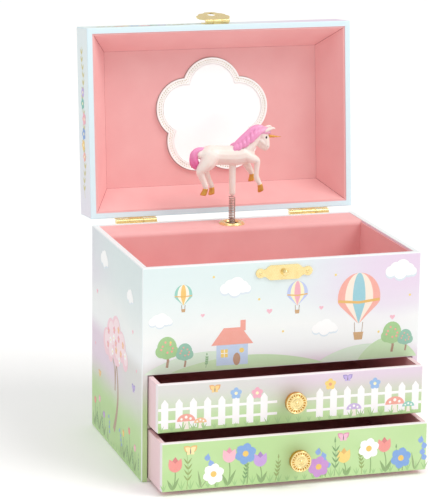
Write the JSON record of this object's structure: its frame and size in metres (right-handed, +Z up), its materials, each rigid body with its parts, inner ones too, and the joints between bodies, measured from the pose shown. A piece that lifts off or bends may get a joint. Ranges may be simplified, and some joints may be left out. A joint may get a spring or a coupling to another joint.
{
  "type": "musical jewellery box",
  "caption": "Paper-covered musical jewellery box with a mirrored hinged lid, a turning unicorn on a coil spring, a lined tray, drawers with gilt knobs and a hasp.",
  "frame": {"origin": "middle of the cabinet's underside", "axes": "+X to the right seen from the drawers, +Y to the back, +Z up"},
  "size_m": [0.16, 0.1829, 0.2365],
  "materials": {
    "printed_board": "paper-wrapped board with a soft pastel print",
    "plain_board": "bare board",
    "pink_lining": "pink lining paper on card",
    "drawer_board": "pale pink paper outside and dark paper inside",
    "gold_metal": "stamped and plated",
    "steel": "bright steel",
    "zinc": "cast zinc alloy",
    "mirror_face": "silvered",
    "silver_trim": "white silvered plastic",
    "figure_white": "moulded and painted",
    "figure_pink": "moulded and painted",
    "figure_gold": "painted gold",
    "dark_plastic": "moulded"
  },
  "bodies": {
    "cabinet": {"base_panel": "printed_board", "left_side_panel": "printed_board", "right_side_panel": "printed_board", "back_panel": "printed_board", "front_panel": "printed_board", "tray_floor_panel": "plain_board", "drawer_divider": "plain_board", "movement_cover": "pink_lining", "tray_lining": "pink_lining", "shelf_bezel": "gold_metal", "catch_plate": "gold_metal", "catch_stud": "gold_metal", "cabinet_hinge_leaves": "gold_metal", "hinge_pins": "gold_metal", "cabinet_nails": "gold_metal", "movement_bedplate": "zinc", "tuned_comb": "steel", "movement_screws": "steel", "cylinder_bearings": "zinc", "governor_frame": "zinc"},
    "lid": {"lid_top_panel": "printed_board", "lid_front_rail": "printed_board", "lid_back_rail": "printed_board", "lid_side_rails": "printed_board", "lid_lining_slopes": "pink_lining", "lid_lining_back": "pink_lining", "mirror_glass": "mirror_face", "mirror_frame": "silver_trim", "lid_hinge_leaves": "gold_metal", "lid_nails": "gold_metal", "hasp_leaf": "gold_metal", "hasp_pin": "gold_metal"},
    "hasp": {"hasp_flap": "gold_metal"},
    "cylinder": {"pinned_cylinder": "gold_metal", "cylinder_arbor": "steel"},
    "barrel": {"spring_barrel": "zinc", "barrel_cover": "zinc", "mainspring": "steel"},
    "key": {"winding_arbor": "steel", "winding_key": "steel"},
    "governor_wheel": {"governor_wheel": "gold_metal"},
    "governor_fan": {"governor_fan": "dark_plastic"},
    "figure_mount": {"figure_spring": "steel"},
    "figure": {"unicorn_body": "figure_white", "unicorn_mane": "figure_pink", "unicorn_tail": "figure_pink", "unicorn_horn": "figure_gold", "unicorn_hooves": "figure_gold"},
    "upper_drawer": {"upper_drawer_front": "printed_board", "upper_drawer_sides": "drawer_board", "upper_drawer_back": "drawer_board", "upper_drawer_bottom": "drawer_board", "upper_drawer_knob": "gold_metal", "upper_knob_screw": "steel"},
    "lower_drawer": {"lower_drawer_front": "printed_board", "lower_drawer_sides": "drawer_board", "lower_drawer_back": "drawer_board", "lower_drawer_bottom": "drawer_board", "lower_drawer_knob": "gold_metal", "lower_knob_screw": "steel"}
  },
  "joints": [
    {"name": "lid_hinge", "type": "hinge", "parent": "cabinet", "child": "lid", "pos_m": [0, 0.0572, 0.1206], "axis": [1, 0, 0], "range_deg": [0, 95.4]},
    {"name": "hasp_fold", "type": "hinge", "parent": "lid", "child": "hasp", "pos_m": [0, 0.0736, 0.23356], "axis": [1, 0, 0], "range_deg": [0, 163]},
    {"name": "upper_drawer_slide", "type": "slide", "parent": "cabinet", "child": "upper_drawer", "axis": [0, -1, 0], "range_m": [-0.0175, 0.0625]},
    {"name": "lower_drawer_slide", "type": "slide", "parent": "cabinet", "child": "lower_drawer", "axis": [0, -1, 0], "range_m": [-0.0265, 0.0535]},
    {"name": "cylinder_spin", "type": "hinge", "parent": "cabinet", "child": "cylinder", "pos_m": [0, 0.0406, 0.084], "axis": [0, 0, 1], "continuous": true},
    {"name": "barrel_turn", "type": "hinge", "parent": "cabinet", "child": "barrel", "pos_m": [0, 0.045, 0.075], "axis": [0, 1, 0], "continuous": true},
    {"name": "governor_wheel_spin", "type": "hinge", "parent": "cabinet", "child": "governor_wheel", "pos_m": [-0.0095, 0.0406, 0.1101], "axis": [0, 0, 1], "continuous": true},
    {"name": "governor_fan_spin", "type": "hinge", "parent": "cabinet", "child": "governor_fan", "pos_m": [-0.0155, 0.0406, 0.1137], "axis": [0, 1, 0], "continuous": true},
    {"name": "key_wind", "type": "hinge", "parent": "cabinet", "child": "key", "pos_m": [0, 0.055, 0.075], "axis": [0, 1, 0], "continuous": true},
    {"name": "figure_fold", "type": "hinge", "parent": "cabinet", "child": "figure_mount", "pos_m": [0, 0.0406, 0.1272], "axis": [1, 0, 0], "range_deg": [0, 90], "deforming": ["figure_spring"]},
    {"name": "figure_spin", "type": "hinge", "parent": "figure_mount", "child": "figure", "pos_m": [0, 0.0406, 0.1272], "axis": [0, 0, 1], "continuous": true}
  ],
  "couplings": [
    {"joint": "figure_fold", "follows": "lid_hinge", "ratio": 0.94339},
    {"joint": "figure_spin", "follows": "cylinder_spin", "ratio": 1},
    {"joint": "barrel_turn", "follows": "cylinder_spin", "ratio": -0.4},
    {"joint": "governor_wheel_spin", "follows": "cylinder_spin", "ratio": -3.75},
    {"joint": "governor_fan_spin", "follows": "cylinder_spin", "ratio": -75}
  ]
}
